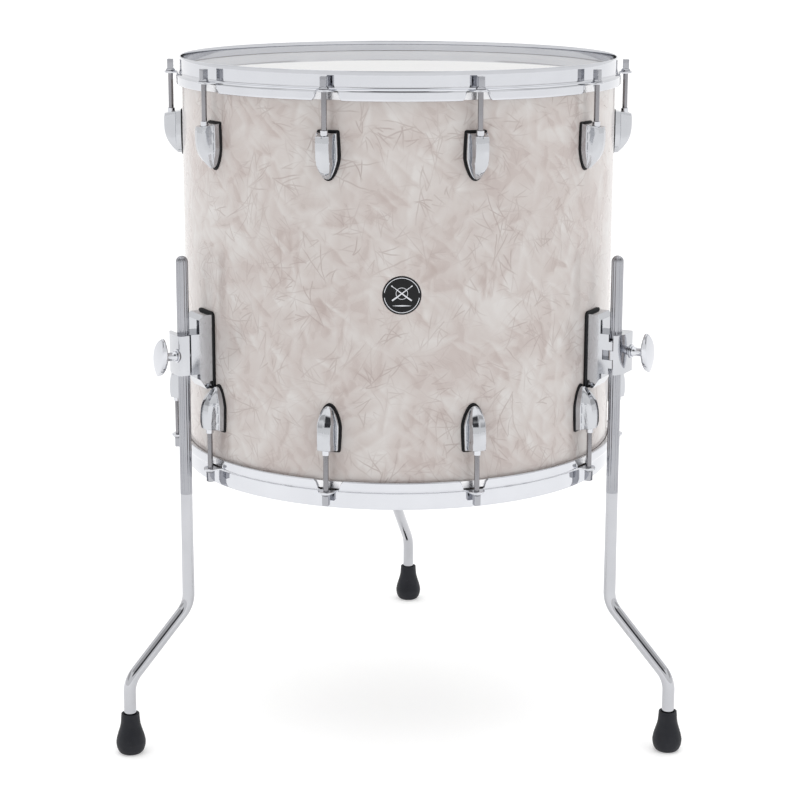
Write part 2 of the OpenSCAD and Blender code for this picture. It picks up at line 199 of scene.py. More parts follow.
def softened(node, name, width, material, body):
    """A finer copy of a CAD solid: joined faces, rounded edges, smooth shading"""
    mesh = NODES[node].data.copy()
    mesh.name = name
    mesh.transform(NODES[node].matrix_world)
    mesh.materials.clear()
    bm = bmesh.new()
    bm.from_mesh(mesh)
    bmesh.ops.remove_doubles(bm, verts=bm.verts, dist=2e-6)
    bmesh.ops.dissolve_limit(bm, angle_limit=math.radians(0.6), verts=bm.verts, edges=bm.edges)
    bm.to_mesh(mesh)
    bm.free()
    obj = bpy.data.objects.new(name, mesh)
    bpy.context.scene.collection.objects.link(obj)
    bevel = obj.modifiers.new("round", "BEVEL")
    bevel.width = width
    bevel.segments = 2
    bevel.limit_method = "ANGLE"
    bevel.angle_limit = math.radians(32)
    bevel.use_clamp_overlap = True
    graph = bpy.context.evaluated_depsgraph_get()
    final = bpy.data.meshes.new_from_object(obj.evaluated_get(graph))
    obj.modifiers.clear()
    obj.data = sharpen(final, 40)
    even = obj.modifiers.new("even", "WEIGHTED_NORMAL")
    even.keep_sharp = True
    even.weight = 90
    graph = bpy.context.evaluated_depsgraph_get()
    final = bpy.data.meshes.new_from_object(obj.evaluated_get(graph))
    bpy.data.objects.remove(obj)
    final.name = name
    final.materials.clear()
    return piece(name, final, body, material, [node])


# ---- materials ----


def new_material(name):
    mat = bpy.data.materials.new(name)
    mat.use_nodes = True
    mat.node_tree.nodes.clear()
    out = mat.node_tree.nodes.new("ShaderNodeOutputMaterial")
    return mat, mat.node_tree, out


def add(nt, kind, values=None, **props):
    """A node with its settings; a value that is a socket is linked"""
    n = nt.nodes.new(kind)
    for k, v in props.items():
        setattr(n, k, v)
    for k, v in (values or {}).items():
        if isinstance(v, bpy.types.NodeSocket):
            nt.links.new(v, n.inputs[k])
        else:
            n.inputs[k].default_value = v
    return n


def maths(nt, operation, a, b=0.0, c=0.0):
    return add(nt, "ShaderNodeMath", {0: a, 1: b, 2: c}, operation=operation).outputs[0]


def ramp(nt, value, stops):
    """Colours, or greys given as one number, blended by a value"""
    n = add(nt, "ShaderNodeValToRGB", {0: value})
    while len(n.color_ramp.elements) < len(stops):
        n.color_ramp.elements.new(0.5)
    for e, (p, c) in zip(n.color_ramp.elements, stops):
        e.position = p
        e.color = (*c, 1) if isinstance(c, tuple) else (c, c, c, 1)
    return n.outputs[0]


def blend_colours(nt, share, a, b):
    n = add(nt, "ShaderNodeMix", data_type="RGBA")
    for k, v in ((0, share), (6, a), (7, b)):
        if isinstance(v, bpy.types.NodeSocket):
            nt.links.new(v, n.inputs[k])
        else:
            n.inputs[k].default_value = v if k == 0 else (*v, 1)
    return n.outputs[2]


def noise(nt, vector, scale, detail=3.0, rough=0.5, distortion=0.0, dims="3D"):
    return add(nt, "ShaderNodeTexNoise", {"Vector": vector, "Scale": scale, "Detail": detail,
               "Roughness": rough, "Distortion": distortion}, noise_dimensions=dims)


def metal(name, light, dark, smooth, dull, wear=0.35, grain=None):
    """Plated or bare metal: colour haze, wiped smudges in the gloss, hairline scratches"""
    mat, nt, out = new_material(name)
    at = add(nt, "ShaderNodeTexCoord").outputs["Object"]
    cloud = noise(nt, at, 28.0, 4.0).outputs[0]
    smudge = noise(nt, at, 90.0, 5.0, 0.65, 0.6).outputs[0]
    long = add(nt, "ShaderNodeMapping", {"Vector": at, "Scale": grain or (40.0, 900.0, 260.0),
               "Rotation": (0.4, 0.9, 0.3)}).outputs[0]
    scratch = noise(nt, long, 6.0, 2.0).outputs[0]
    colour = ramp(nt, cloud, [(0.3, dark), (0.7, light)])
    mixed = maths(nt, "MULTIPLY_ADD", scratch, wear, smudge)
    gloss = add(nt, "ShaderNodeMapRange", {"Value": mixed, "From Min": 0.45, "From Max": 0.95,
                "To Min": smooth, "To Max": dull}).outputs[0]
    bump = add(nt, "ShaderNodeBump", {"Height": scratch, "Strength": 0.03, "Distance": 0.00005})
    shader = add(nt, "ShaderNodeBsdfPrincipled", {"Base Color": colour, "Metallic": 1.0,
                 "Roughness": gloss, "Normal": bump.outputs[0]})
    nt.links.new(shader.outputs[0], out.inputs[0])
    return mat


def rubber(name, light, dark, smooth, dull, grain_scale, depth):
    mat, nt, out = new_material(name)
    at = add(nt, "ShaderNodeTexCoord").outputs["Object"]
    cloud = noise(nt, at, 60.0, 4.0).outputs[0]
    grain = noise(nt, at, grain_scale, 3.0, 0.6).outputs[0]
    dust = noise(nt, at, 420.0, 2.0, 0.7).outputs[0]
    colour = ramp(nt, cloud, [(0.3, dark), (0.72, light)])
    speck = ramp(nt, dust, [(0.66, 0.0), (0.74, 0.35)])
    colour = blend_colours(nt, speck, colour, tuple(min(1.0, 2.4 * c) for c in light))
    gloss = add(nt, "ShaderNodeMapRange", {"Value": grain, "From Min": 0.3, "From Max": 0.7,
                "To Min": smooth, "To Max": dull}).outputs[0]
    bump = add(nt, "ShaderNodeBump", {"Height": grain, "Strength": 0.5, "Distance": depth})
    shader = add(nt, "ShaderNodeBsdfPrincipled", {"Base Color": colour, "Roughness": gloss,
                 "Normal": bump.outputs[0], "Specular IOR Level": 0.22})
    nt.links.new(shader.outputs[0], out.inputs[0])
    return mat


def pearl():
    """Aged pearl celluloid under a gloss coat: soft patches, each with its own tone and a painted
    slant of light and shade across it, and over them six layers of short curved creases, two to a
    cell, darkened with painted shade. Eight layers rendered black."""
    full_turn = 6.28
    patch_share, patch_hold = 0.45, 0.48
    mat, nt, out = new_material("pearl_wrap")
    uv = add(nt, "ShaderNodeUVMap", uv_map="flat").outputs[0]
    drift = noise(nt, uv, 9.0, 2.0, 0.5, 0.0, "2D").outputs["Color"]
    small = noise(nt, uv, 34.0, 2.0, 0.5, 0.0, "2D").outputs["Color"]
    bent = add(nt, "ShaderNodeVectorMath", {0: drift, 1: (0.5, 0.5, 0.5)}, operation="SUBTRACT")
    bent = add(nt, "ShaderNodeVectorMath", {0: bent.outputs[0], 3: 0.022}, operation="SCALE")
    crimp = add(nt, "ShaderNodeVectorMath", {0: small, 1: (0.5, 0.5, 0.5)}, operation="SUBTRACT")
    crimp = add(nt, "ShaderNodeVectorMath", {0: crimp.outputs[0], 3: 0.005}, operation="SCALE")
    warped = add(nt, "ShaderNodeVectorMath", {0: uv, 1: bent.outputs[0]}, operation="ADD")
    warped = add(nt, "ShaderNodeVectorMath", {0: warped.outputs[0], 1: crimp.outputs[0]},
                 operation="ADD").outputs[0]
    value = noise(nt, uv, 17.0, 3.0, 0.55, 0.4, "2D").outputs[0]
    value = add(nt, "ShaderNodeMapRange", {"Value": value, "From Min": 0.3, "From Max": 0.7,
                "To Min": 0.25, "To Max": 0.85}).outputs[0]
    creases = None
    patches = [(0.35, 24, 62), (1.45, 27, 75), (2.45, 31, 92)]
    # each patch gets a random tone of its own and, across it, a painted slant of light and shade as
    # if its flake were tilted
    for k, (turn, along, across) in enumerate(patches):
        spot = add(nt, "ShaderNodeMapping", {"Vector": warped, "Rotation": (0, 0, turn),
                   "Scale": (1 / along, 1 / across, 1), "Location": (3.1 * k, 1.7 * k, 0)},
                   vector_type="TEXTURE").outputs[0]
        cell = add(nt, "ShaderNodeTexVoronoi", {"Vector": spot, "Scale": 1.0},
                   voronoi_dimensions="2D", feature="F1")
        edge = add(nt, "ShaderNodeTexVoronoi", {"Vector": spot, "Scale": 1.0},
                   voronoi_dimensions="2D", feature="DISTANCE_TO_EDGE").outputs["Distance"]
        pick = add(nt, "ShaderNodeSeparateColor", {0: cell.outputs["Color"]})
        there = maths(nt, "GREATER_THAN", pick.outputs[0], 1 - patch_share)
        off = add(nt, "ShaderNodeVectorMath", {0: spot, 1: cell.outputs["Position"]},
                  operation="SUBTRACT").outputs[0]
        slant = add(nt, "ShaderNodeSeparateXYZ", {0: off})
        tone_and_painted_slant = maths(nt, "MULTIPLY_ADD", slant.outputs[1], 0.8, pick.outputs[1])
        tone_and_painted_slant = maths(nt, "MULTIPLY_ADD", slant.outputs[0], 0.5, tone_and_painted_slant)
        inside = add(nt, "ShaderNodeMapRange", {"Value": edge, "From Min": 0.0,
                     "From Max": 0.22}, clamp=True).outputs[0]
        hold = maths(nt, "MULTIPLY", there, inside)
        hold = maths(nt, "MULTIPLY", hold, patch_hold)
        value = add(nt, "ShaderNodeMix", {0: hold, 2: value, 3: tone_and_painted_slant}, data_type="FLOAT").outputs[0]
    for k, size in enumerate((19, 24, 30, 39, 50, 66)):
        grid = add(nt, "ShaderNodeMapping", {"Vector": warped, "Rotation": (0, 0, 0.7 * k),
                   "Scale": (1000 / size, 1000 / size, 1),
                   "Location": (2.3 * k, 5.9 * k, 0)}).outputs[0]
        cell = add(nt, "ShaderNodeTexVoronoi", {"Vector": grid, "Scale": 1.0},
                   voronoi_dimensions="2D", feature="F1")
        off = add(nt, "ShaderNodeVectorMath", {0: grid, 1: cell.outputs["Position"]},
                  operation="SUBTRACT").outputs[0]
        pick = add(nt, "ShaderNodeSeparateColor", {0: cell.outputs["Color"]})
        for fan, shift in ((0.0, 0.0), (0.5, 0.16)):
            angle = maths(nt, "MULTIPLY_ADD", pick.outputs[0], full_turn, fan)
            turned = add(nt, "ShaderNodeVectorRotate", {"Vector": off, "Angle": angle},
                         rotation_type="Z_AXIS").outputs[0]
            run = add(nt, "ShaderNodeSeparateXYZ", {0: turned})
            curl = maths(nt, "MULTIPLY_ADD", pick.outputs[1], 0.7, -0.35)
            curl = maths(nt, "MULTIPLY", curl, maths(nt, "POWER", run.outputs[0], 2))
            curl = maths(nt, "ADD", curl, shift)
            gap = maths(nt, "ABSOLUTE", maths(nt, "ADD", run.outputs[1], curl))
            line = add(nt, "ShaderNodeMapRange", {"Value": gap, "From Min": 0.15 / size,
                       "From Max": 0.85 / size, "To Min": 1.0, "To Max": 0.0}).outputs[0]
            reach = maths(nt, "ABSOLUTE", run.outputs[0])
            taper = add(nt, "ShaderNodeMapRange", {"Value": reach, "From Min": 0.30,
                        "From Max": 0.55, "To Min": 1.0, "To Max": 0.0}).outputs[0]
            line = maths(nt, "MULTIPLY", line, taper)
            line = maths(nt, "MULTIPLY", line, pick.outputs[2])
            creases = line if creases is None else maths(nt, "MAXIMUM", creases, line)
    calm = noise(nt, uv, 21.0, 2.0, 0.5, 0.0, "2D").outputs[0]
    creases = maths(nt, "MULTIPLY", creases, ramp(nt, calm, [(0.38, 0.15), (0.56, 1.0)]))
    fine = noise(nt, warped, 300.0, 3.0, 0.6, 0.0, "2D").outputs[0]
    # the tone fed to the colour ramp carries the patches' painted light and shade
    tone_with_painted_light = maths(nt, "MULTIPLY_ADD", fine, 0.06, value)
    colour = ramp(nt, tone_with_painted_light, [(0.02, (0.405, 0.336, 0.312)), (0.30, (0.475, 0.415, 0.393)),
                             (0.58, (0.523, 0.477, 0.456)), (0.98, (0.596, 0.570, 0.553))])
    # the crease lines are darkened with painted shade; their groove itself is the bump relief below
    painted_crease_shade = maths(nt, "MULTIPLY", creases, 0.80)
    colour = blend_colours(nt, painted_crease_shade, colour, (0.35, 0.285, 0.266))
    relief = maths(nt, "SUBTRACT", value, creases)
    bump = add(nt, "ShaderNodeBump", {"Height": relief, "Strength": 0.04, "Distance": 0.0002})
    gloss = add(nt, "ShaderNodeMapRange", {"Value": value, "From Min": 0.2, "From Max": 0.8,
                "To Min": 0.24, "To Max": 0.38}).outputs[0]
    shader = add(nt, "ShaderNodeBsdfPrincipled", {"Base Color": colour, "Roughness": gloss,
                 "Normal": bump.outputs[0], "Coat Weight": 0.6, "Coat Roughness": 0.06,
                 "Specular IOR Level": 0.45, "Sheen Weight": 0.08})
    nt.links.new(shader.outputs[0], out.inputs[0])
    return mat


def film():
    """Clear drum film: it mirrors strongly at a low angle, with a faint haze of handling"""
    mat, nt, out = new_material("clear_film")
    at = add(nt, "ShaderNodeTexCoord").outputs["Object"]
    haze = noise(nt, at, 14.0, 5.0, 0.6, 0.8).outputs[0]
    haze = ramp(nt, haze, [(0.38, 0.90), (0.70, 1.05)])
    rim = add(nt, "ShaderNodeFresnel", {"IOR": 2.3}).outputs[0]
    long = ramp(nt, rim, [(0.16, 0.06), (0.22, 0.16), (0.45, 0.55)])
    haze = maths(nt, "MULTIPLY", haze, long)
    clear = add(nt, "ShaderNodeBsdfTransparent", {"Color": (0.965, 0.972, 0.975, 1)})
    gloss = add(nt, "ShaderNodeBsdfGlossy", {"Color": (1, 1, 1, 1), "Roughness": 0.02})
    milk = add(nt, "ShaderNodeBsdfDiffuse", {"Color": (0.86, 0.87, 0.88, 1)})
    body = add(nt, "ShaderNodeMixShader", {0: haze, 1: clear.outputs[0], 2: milk.outputs[0]})
    mix = add(nt, "ShaderNodeMixShader", {0: rim, 1: body.outputs[0], 2: gloss.outputs[0]})
    nt.links.new(mix.outputs[0], out.inputs[0])
    return mat


def maple():
    """Sealed ply: long grain round the shell, and the plies' stripes where the edge is cut"""
    mat, nt, out = new_material("ply")
    at = add(nt, "ShaderNodeTexCoord").outputs["Object"]
    flat = add(nt, "ShaderNodeMapping", {"Vector": at, "Scale": (5.0, 5.0, 90.0)}).outputs[0]
    grain = noise(nt, flat, 2.2, 6.0, 0.62, 0.5).outputs[0]
    fleck = add(nt, "ShaderNodeMapping", {"Vector": at, "Scale": (60.0, 60.0, 700.0)}).outputs[0]
    pores = noise(nt, fleck, 2.0, 2.0).outputs[0]
    tone = maths(nt, "MULTIPLY_ADD", pores, 0.25, grain)
    colour = ramp(nt, tone, [(0.38, (0.42, 0.27, 0.15)), (0.60, (0.60, 0.43, 0.27)),
                             (0.85, (0.70, 0.54, 0.37))])
    gloss = add(nt, "ShaderNodeMapRange", {"Value": pores, "To Min": 0.34, "To Max": 0.52})
    bump = add(nt, "ShaderNodeBump", {"Height": tone, "Strength": 0.2, "Distance": 0.0002})
    shader = add(nt, "ShaderNodeBsdfPrincipled", {"Base Color": colour,
                 "Roughness": gloss.outputs[0], "Normal": bump.outputs[0]})
    nt.links.new(shader.outputs[0], out.inputs[0])
    return mat


CHROME = metal("chrome", (0.630, 0.640, 0.672), (0.600, 0.610, 0.642), 0.025, 0.075)
LEG = metal("leg_chrome", (0.515, 0.52, 0.545), (0.47, 0.475, 0.50), 0.05, 0.12)
# a darker copy of the chrome, painted shade: used on the fluted upper legs and on the rod key heads
SHADED_CHROME = metal("chrome_painted_shade", (0.38, 0.385, 0.41), (0.34, 0.345, 0.37), 0.06, 0.14)
CAST = metal("cast_chrome", (0.545, 0.555, 0.58), (0.505, 0.515, 0.54), 0.05, 0.12)
ROD_STEEL = metal("rod_steel", (0.28, 0.275, 0.29), (0.23, 0.228, 0.24), 0.12, 0.22,
                  0.5, (300.0, 300.0, 40.0))
STEEL = metal("screw_steel", (0.52, 0.52, 0.53), (0.40, 0.40, 0.41), 0.20, 0.34)
ALLOY = metal("flesh_alloy", (0.78, 0.78, 0.79), (0.70, 0.70, 0.72), 0.22, 0.36)
GASKET = rubber("gasket_rubber", (0.008, 0.008, 0.009), (0.004, 0.004, 0.005), 0.50, 0.66,
                900.0, 0.00006)
FOOT = rubber("foot_rubber", (0.020, 0.021, 0.026), (0.011, 0.012, 0.016), 0.42, 0.60,
              700.0, 0.00012)
ENAMEL = rubber("badge_enamel", (0.008, 0.008, 0.009), (0.004, 0.004, 0.005), 0.14, 0.26,
                1500.0, 0.00002)
PEARL = pearl()
FILM = film()
PLY = maple()

# ---- camera, at the photograph's viewing angle ----

PSI = math.radians(0.99)
PITCH = math.radians(11.97)
ROLL = math.radians(0.135)
DISTANCE = 2150.95 * MM
ASIDE = 2.24 * MM
ABOVE_RIM = 148.84 * MM
SENSOR = 36
FOCAL = 2030.0 / 800
turn = Matrix.Rotation(-PSI, 3, "Z")
eye = turn @ Vector((ASIDE, -DISTANCE, 0)) + Vector((0, AXIS_Y, RIM_Z + ABOVE_RIM))
look = turn @ Vector((0, math.cos(PITCH), -math.sin(PITCH)))
cam = bpy.data.cameras.new("camera")
cam.lens = FOCAL * SENSOR
cam.shift_y = -0.075
cam.sensor_width = SENSOR
camera = bpy.data.objects.new("camera", cam)
bpy.context.scene.collection.objects.link(camera)
camera.matrix_world = (Matrix.Translation(eye) @ look.to_track_quat("-Z", "Y").to_matrix().to_4x4()
                       @ Matrix.Rotation(ROLL, 4, "Z"))
bpy.context.scene.camera = camera

# ---- shell wrap ----


def wrap_sleeve():
    """The sleeve, with rolled ends and the lap seam that runs down under the back lugs"""
    count = 400
    low, high = EDGE_LOW + WRAP_MARGIN, EDGE_HIGH - WRAP_MARGIN
    profile = [(SHELL_R - WRAP_T, low), (SHELL_R - 0.15 * MM, low), (SHELL_R, low + 0.2 * MM)]
    profile += [(SHELL_R, low + (high - low) * k / 12) for k in range(1, 12)]
    profile += [(SHELL_R, high - 0.2 * MM), (SHELL_R - 0.15 * MM, high), (SHELL_R - WRAP_T, high)]
    seam = math.radians(198)
    verts, where = [], []
    for k in range(count + 1):
        a = seam + 2 * math.pi * k / count
        step = 0.3 * MM if k == 0 else 0.0
        for r, z in profile:
            p = around(a) @ Vector((r - step, 0, z))
            verts.append(p)
            where.append((k / count * 2 * math.pi * SHELL_R, z))
    mesh = make_mesh("wrap", verts, grid_faces(count + 1, len(profile)))
    uv = mesh.uv_layers.new(name="flat")
    for loop in mesh.loops:
        uv.data[loop.index].uv = where[loop.vertex_index]
    face_outwards(mesh)
    return sharpen(mesh, 30)


piece("wrap", wrap_sleeve(), "drum", PEARL, ["shell_wrap"])

# ---- hoops ----

WALL_RO = 229.6 * MM
HOOP_T = 1.6 * MM
EAR_C = 237.4 * MM
EAR_R = 9.0 * MM
HOOP_ARC_R = 233.0


def smooth_step(x, a, b):
    t = min(1.0, max(0.0, (x - a) / (b - a)))
    return t * t * (3 - 2 * t)


def hoop_section(y):
    """The hoop's cross-section (radius, height below the rim) at an arc distance from an ear"""
    y = abs(y)
    heading = math.radians(90 - 90 * smooth_step(y, 8.4 * MM, 13.0 * MM))
    shoulder_r, fold_r, slope = 1.9 * MM, 3.6 * MM, math.radians(62)
    p = [Vector((WALL_RO, -0.8 * MM))]
    theta = [0.0]
    for z in (-5.0, -10.0, -13.5, -15.4):
        p.append(Vector((WALL_RO, z * MM)))
        theta.append(0.0)

    def bend(to, radius, steps):
        start = theta[-1]
        for k in range(steps):
            t = start + (to - start) * (k + 0.5) / steps
            p.append(p[-1] + Vector((math.sin(t), -math.cos(t))) * radius * abs(to - start) / steps)
            theta.append(start + (to - start) * (k + 1) / steps)

    bend(slope, shoulder_r, 6)
    p.append(p[-1] + Vector((math.sin(slope), -math.cos(slope))) * 0.5 * MM)
    theta.append(slope)
    bend(heading, fold_r, 10)
    start = p[-1]
    nose = EAR_C + EAR_R * math.sqrt(max(0.0, 1 - (y / (8.7 * MM)) ** 2))
    pad = max(0.0, nose - start.x) * (1 - smooth_step(y, 7.9 * MM, 8.9 * MM))
    skirt = 8.0 * MM * smooth_step(y, 9.0 * MM, 15.5 * MM)
    run = max(pad, skirt, 1.4 * MM)
    d = Vector((math.sin(heading), -math.cos(heading)))
    for k in range(1, 6):
        p.append(start + d * (run - 0.8 * MM) * k / 5)
        theta.append(heading)
    normals = [Vector((math.cos(t), math.sin(t))) for t in theta]
    inner = [q - n * HOOP_T for q, n in zip(p, normals)]
    tip, n = p[-1] - normals[-1] * HOOP_T / 2, normals[-1]
    edge = [tip + (n * math.cos(a) + d * math.sin(a)) * HOOP_T / 2
            for a in (math.radians(x) for x in (45, 90, 135))]
    top, up = p[0] - Vector((HOOP_T / 2, 0)), Vector((0, 1))
    rim = [top + (Vector((-math.cos(a), 0)) + up * math.sin(a)) * HOOP_T / 2
           for a in (math.radians(x) for x in (30, 60, 90, 120, 150))]
    return p + edge + inner[::-1] + rim


def hoop(name):
    """The section swept round ten ears, with arc distances in millimetres from each ear"""
    near = [k * 0.5 for k in range(0, 33)]
    half = math.pi * HOOP_ARC_R / LUG_COUNT
    far = [16 + (half - 16) * k / 12 for k in range(1, 13)]
    ys = [-y for y in reversed(near[1:] + far[:-1])] + near + far
    sections = [hoop_section(y * MM) for y in ys]
    verts = []
    for a in LUG_ANGLES:
        for y, section in zip(ys, sections):
            turn = around(a + y / HOOP_ARC_R)
            verts += [turn @ Vector((q.x, 0, RIM_Z + q.y)) for q in section]
    mesh = make_mesh(name, verts, grid_faces(len(ys) * LUG_COUNT, len(sections[0]), True, True))
    return face_outwards(mesh)


hoop_mesh = hoop("batter_hoop_pressed")
lower_hoop = copies("resonant_hoop_pressed", hoop_mesh, [LOWER])
piece("batter_hoop_pressed", hoop_mesh, "batter_ring", CHROME, ["batter_hoop"])
piece("resonant_hoop_pressed", lower_hoop, "resonant_ring", CHROME, ["resonant_hoop"])

# ---- heads ----


def head_film(name):
    top = EDGE_HIGH + 0.3 * MM
    flesh = RIM_Z - 20.5 * MM
    profile = [(0, top)]
    profile += [(224.0 * MM * k / 24, top) for k in range(1, 25)]
    profile += rounded([(224.0 * MM, top), (226.2 * MM, top - 0.9 * MM),
                        (227.65 * MM, top - 2.6 * MM), (227.75 * MM, flesh + 0.2 * MM),
                        (228.4 * MM, flesh - 0.3 * MM)], 1.0 * MM)
    verts, faces = lathe(profile, 256, (0, AXIS_Y))
    return face_outwards(make_mesh(name, verts, faces))


film_mesh = head_film("batter_film")
lower_film = copies("resonant_film", film_mesh, [LOWER])
piece("batter_film", film_mesh, "batter_ring", FILM, ["batter_head"])
piece("resonant_film", lower_film, "resonant_ring", FILM, ["resonant_head"])

# ---- tension rods ----


def rod_mesh():
    """Square key head on a coned collar, plain shank, rolled thread at its lower end"""
    r = 2.75 * MM
    low, high = LUG_Z - 9 * MM, SEAT_Z + 12.2 * MM
    profile = [(0, low), (r - 0.8 * MM, low), (r - 0.3 * MM, low + 0.6 * MM)]
    pitch, z = 0.8 * MM, low + 0.8 * MM
    while z < LUG_Z + 24 * MM:
        profile += [(r, z), (r - 0.32 * MM, z + pitch / 2)]
        z += pitch
    collar = SEAT_Z + 0.05 * MM
    profile += [(r - 0.1 * MM, z + 0.3 * MM), (r - 0.1 * MM, collar), (4.6 * MM, collar),
                (4.9 * MM, collar + 0.3 * MM), (4.9 * MM, collar + 0.9 * MM),
                (4.6 * MM, collar + 1.3 * MM), (3.7 * MM, collar + 2.3 * MM),
                (3.0 * MM, collar + 2.7 * MM), (0, collar + 2.7 * MM)]
    verts, faces = lathe(profile, 24)
    mesh = make_mesh("tension_rod", verts, faces)
    bm = bmesh.new()
    bm.from_mesh(mesh)
    half = 3.15 * MM
    base, top = collar + 1.9 * MM, high
    made = bmesh.ops.create_cube(bm, size=1.0)["verts"]
    for v in made:
        v.co = Vector((v.co.x * 2 * half, v.co.y * 2 * half, base + (v.co.z + 0.5) * (top - base)))
    sides = [e for e in {e for v in made for e in v.link_edges}]
    bmesh.ops.bevel(bm, geom=sides, offset=0.55 * MM, segments=3, affect="EDGES", profile=0.6)
    bmesh.ops.recalc_face_normals(bm, faces=bm.faces)
    bm.to_mesh(mesh)
    bm.free()
    mesh.materials.append(ROD_STEEL)
    mesh.materials.append(SHADED_CHROME)
    # faces from the collar up take the darker chrome, which is painted shade
    for f in mesh.polygons:
        f.material_index = 1 if f.center.z > collar - 0.1 * MM else 0
    return sharpen(mesh, 35)


rod = rod_mesh()
rod_low = copies("tension_rod_low", rod, [LOWER])
for i in range(1, LUG_COUNT + 1):
    place = around(LUG_STEP * (i - 0.5)) @ Matrix.Translation((ROD_CIRCLE, 0, 0))
    name = f"batter_rod_{i}"
    piece(f"key_rod_top_{i}", rod, name, None, [name], place)
    name = f"resonant_rod_{i}"
    piece(f"key_rod_low_{i}", rod_low, name, None, [name], place)

# ---- lugs ----


LUG_SPAN = 44 * MM
OPEN_Z, OPEN_RISE, OPEN_TILT = 22 * MM, 1.2 * MM, 0.18


def lug_half_width(z, half, low, arch, lean):
    """Half the outline's width at a height: narrower at the open end, a soft point below"""
    start = low + arch
    if z >= start:
        return half - lean * ((z - start) / (LUG_SPAN - arch)) ** 2
    u = min(1.0, (start - z) / arch)
    return half * (1 - u ** 1.25) ** 0.485


def lug_section(z, columns):
    """Heights of the casting over the gasket across its width, at one height"""
    w = max(0.25 * MM, lug_half_width(z, 11 * MM, -22 * MM, 20 * MM, 1.0 * MM))
    t = max(0.0, (12 * MM - z) / (34 * MM))
    face = 19.3 * MM - 15.0 * MM * t ** 2.8
    if z > 12 * MM:
        face -= 0.9 * MM * ((z - 12 * MM) / (10 * MM)) ** 2
    flange = 6.2 * MM - 2.2 * MM * smooth_step(-z, 12 * MM, 22 * MM)
    valley = flange - 1.1 * MM
    foot = min(8.2 * MM, w * 0.80)
    front = min(7.0 * MM, foot * 0.86)
    ridge = max(face, flange + 0.1 * MM)
    brow = max(face - 1.5 * MM, flange)
    ys = np.arange(0, w + 0.05 * MM, 0.1 * MM)
    xs = np.interp(ys, [0, front, foot, foot + 0.5 * MM, max(foot + 0.6 * MM, w - 0.9 * MM), w],
                   [ridge, brow, valley, valley, flange, flange - 0.9 * MM])
    groove = 0.5 * MM * smooth_step(z, -16 * MM, 4 * MM)
    xs = xs - groove * np.clip(1 - ys / (0.55 * MM), 0, 1)
    both = np.concatenate([xs[:0:-1], xs])
    kernel = np.exp(-0.5 * (np.arange(-9, 10) * 0.1 / 0.2) ** 2)
    padded = np.pad(both, 9, mode="edge")
    both = np.convolve(padded, kernel / kernel.sum(), mode="valid")
    span = np.concatenate([-ys[:0:-1], ys])
    across = [w * c for c in columns]
    return across, np.interp(across, span, both)


def lug_mesh():
    """The casting as a lofted grid, with a sloped open end and the mouth of its bore"""
    bore_r, bore_deep, bore_sides = 4.3 * MM, 6 * MM, 24
    stops = [0, 0.02, 0.045, 0.07, 0.1, 0.17, 0.25, 0.33, 0.41, 0.48, 0.54, 0.58, 0.62, 0.66,
             0.70, 0.73, 0.76, 0.79, 0.83, 0.87, 0.91, 0.95, 0.98, 1.0]
    columns = [-c for c in reversed(stops[1:])] + stops
    heights = [-22 * MM + 20 * MM * (k / 26) ** 1.6 for k in range(26)]
    heights += [(-2 + 23.6 * k / 16) * MM for k in range(17)] + [OPEN_Z]
    verts, cols = [], len(columns) + 2
    for z in heights:
        ys, xs = lug_section(min(z, 21.6 * MM), columns)
        if z > 21.8 * MM:
            ys, xs = [y * 0.965 for y in ys], [x - 0.4 * MM for x in xs]
        xs = [0.0, *xs, 0.0]
        ys = [ys[0], *ys, ys[-1]]
        slope = smooth_step(z, 12 * MM, OPEN_Z)
        verts += [(x, y, z + slope * (OPEN_RISE - OPEN_TILT * x)) for x, y in zip(xs, ys)]
    mesh = make_mesh("lug", verts, grid_faces(len(heights), cols))
    bm = bmesh.new()
    bm.from_mesh(mesh)
    bm.verts.ensure_lookup_table()
    last = [bm.verts[len(verts) - cols + k] for k in range(cols)]
    first = [bm.verts[k] for k in range(cols)]
    bore = []
    for k in range(bore_sides):
        a = 2 * math.pi * k / bore_sides
        y, x = bore_r * math.sin(a), ROD_CIRCLE - GASKET_X + bore_r * math.cos(a)
        bore.append(bm.verts.new((x, y, OPEN_Z + OPEN_RISE - OPEN_TILT * x)))
    edges = []
    for loop in (last, bore):
        for a, b in zip(loop, loop[1:] + loop[:1]):
            edges.append(bm.edges.get((a, b)) or bm.edges.new((a, b)))
    bmesh.ops.triangle_fill(bm, use_beauty=True, edges=edges)
    deep = [bm.verts.new(v.co - Vector((0, 0, bore_deep))) for v in bore]
    for k in range(bore_sides):
        n = (k + 1) % bore_sides
        bm.faces.new((bore[k], bore[n], deep[n], deep[k]))
    bm.faces.new(first)
    bmesh.ops.recalc_face_normals(bm, faces=bm.faces)
    bm.to_mesh(mesh)
    bm.free()
    return sharpen(mesh, 30)


